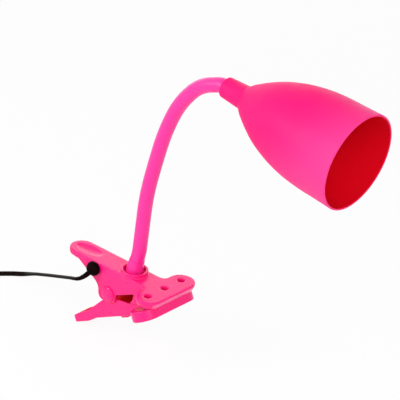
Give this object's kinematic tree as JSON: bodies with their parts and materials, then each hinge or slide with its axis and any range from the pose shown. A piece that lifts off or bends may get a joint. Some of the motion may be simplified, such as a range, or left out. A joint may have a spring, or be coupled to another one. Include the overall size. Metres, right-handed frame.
{
  "type": "clip on reading lamp",
  "caption": "Clip-on reading lamp with a sprung two-lever clip, a bendable neck, a bell-shaped shade over a small screw lampholder, and a mains lead with in-line switch.",
  "frame": {"origin": "middle of the upper jaw's gripping face, under the middle hole of the jaw", "axes": "+X from the handles towards the mouth of the jaws, +Z out of the upper jaw's flat top, +Y to the left seen from behind the handles"},
  "size_m": [0.611, 0.1203, 0.3566],
  "materials": {
    "pink_plastic": "satin",
    "sleeve_plastic": "satin",
    "jaw_rubber": "matte",
    "zinc_steel": "satin",
    "spring_steel": "satin",
    "nickel_plate": "polished",
    "brass": "satin",
    "holder_plastic": "matte",
    "tie_plastic": "matte",
    "cord_pvc": "satin",
    "black_pvc": "satin",
    "black_plastic": "satin"
  },
  "bodies": {
    "clip": {"base_ferrule": "brass", "base_washer": "zinc_steel", "base_nut": "zinc_steel", "neck_boot": "sleeve_plastic", "neck_sleeve_0": "sleeve_plastic", "neck_coil_0": "zinc_steel", "neck_flex_0": "cord_pvc", "upper_lever": "pink_plastic", "upper_jaw_pad": "jaw_rubber", "hinge_pin": "zinc_steel", "hinge_cap_right": "pink_plastic", "hinge_cap_left": "pink_plastic", "torsion_spring": "spring_steel", "clip_flex": "cord_pvc", "cord_clamp": "black_plastic", "clamp_screw_a": "zinc_steel", "clamp_screw_b": "zinc_steel", "cord_grommet": "black_pvc", "cord": "cord_pvc", "switch_lower_case": "black_plastic", "switch_upper_case": "black_plastic", "switch_contact": "brass", "cord_tail": "cord_pvc", "cord_coil": "cord_pvc", "cord_tie": "tie_plastic", "cord_plug_lead": "cord_pvc", "plug_body": "black_pvc", "plug_pin_a": "nickel_plate", "plug_pin_b": "nickel_plate"},
    "lower_lever": {"lower_lever": "pink_plastic", "lower_jaw_pad": "jaw_rubber"},
    "neck_1": {"neck_sleeve_1": "sleeve_plastic", "neck_coil_1": "zinc_steel", "neck_flex_1": "cord_pvc"},
    "neck_2": {"neck_sleeve_2": "sleeve_plastic", "neck_coil_2": "zinc_steel", "neck_flex_2": "cord_pvc"},
    "neck_3": {"neck_sleeve_3": "sleeve_plastic", "neck_coil_3": "zinc_steel", "neck_flex_3": "cord_pvc"},
    "neck_4": {"neck_sleeve_4": "sleeve_plastic", "neck_coil_4": "zinc_steel", "neck_flex_4": "cord_pvc"},
    "neck_5": {"neck_sleeve_5": "sleeve_plastic", "neck_coil_5": "zinc_steel", "neck_flex_5": "cord_pvc"},
    "head": {"neck_sleeve_6": "sleeve_plastic", "neck_coil_6": "zinc_steel", "neck_flex_6": "cord_pvc", "top_ferrule": "brass", "shade_locknut": "zinc_steel", "shade": "pink_plastic", "lampholder_body": "holder_plastic", "lampholder_shell": "brass", "centre_contact": "brass", "terminal_screw_a": "brass", "terminal_screw_b": "brass"},
    "switch_rocker": {"switch_rocker": "black_plastic"}
  },
  "joints": [
    {"name": "jaw_open", "type": "hinge", "parent": "clip", "child": "lower_lever", "pos_m": [-0.0625, 0, -0.0205], "axis": [0, 1, 0], "range_deg": [0, 45], "stiffness_Nm_per_rad": 0.8, "springref_deg": -34.38, "deforming": ["torsion_spring"]},
    {"name": "neck_bend_0", "type": "hinge", "parent": "clip", "child": "neck_1", "pos_m": [-0.03658, 0, 0.03959], "axis": [0.005, 1, 0], "range_deg": [-18, 18]},
    {"name": "neck_swing_0", "type": "hinge", "parent": "neck_1", "child": "neck_2", "pos_m": [-0.0348, 0, 0.07955], "axis": [0.999, 0, -0.0445], "range_deg": [-18, 18]},
    {"name": "neck_bend_1", "type": "hinge", "parent": "neck_2", "child": "neck_3", "pos_m": [-0.03, 0, 0.11923], "axis": [0.005, 1, 0], "range_deg": [-18, 18]},
    {"name": "neck_swing_1", "type": "hinge", "parent": "neck_3", "child": "neck_4", "pos_m": [-0.02141, 0, 0.15829], "axis": [0.9722, 0, -0.2343], "range_deg": [-18, 18]},
    {"name": "neck_bend_2", "type": "hinge", "parent": "neck_4", "child": "neck_5", "pos_m": [-0.0088, 0, 0.1962], "axis": [0.005, 1, 0], "range_deg": [-18, 18]},
    {"name": "neck_swing_2", "type": "hinge", "parent": "neck_5", "child": "head", "pos_m": [0.01308, 0, 0.22944], "axis": [0.726, 0, -0.6877], "range_deg": [-18, 18]},
    {"name": "switch_rocker", "type": "hinge", "parent": "clip", "child": "switch_rocker", "pos_m": [-0.29308, -0.01149, -0.0604], "axis": [-0.2539, -0.9672, 0], "range_deg": [0, 14]}
  ],
  "couplings": [
    {"joint": "neck_bend_1", "follows": "neck_bend_0", "ratio": 1},
    {"joint": "neck_bend_2", "follows": "neck_bend_0", "ratio": 1},
    {"joint": "neck_swing_1", "follows": "neck_swing_0", "ratio": 1},
    {"joint": "neck_swing_2", "follows": "neck_swing_0", "ratio": 1}
  ]
}
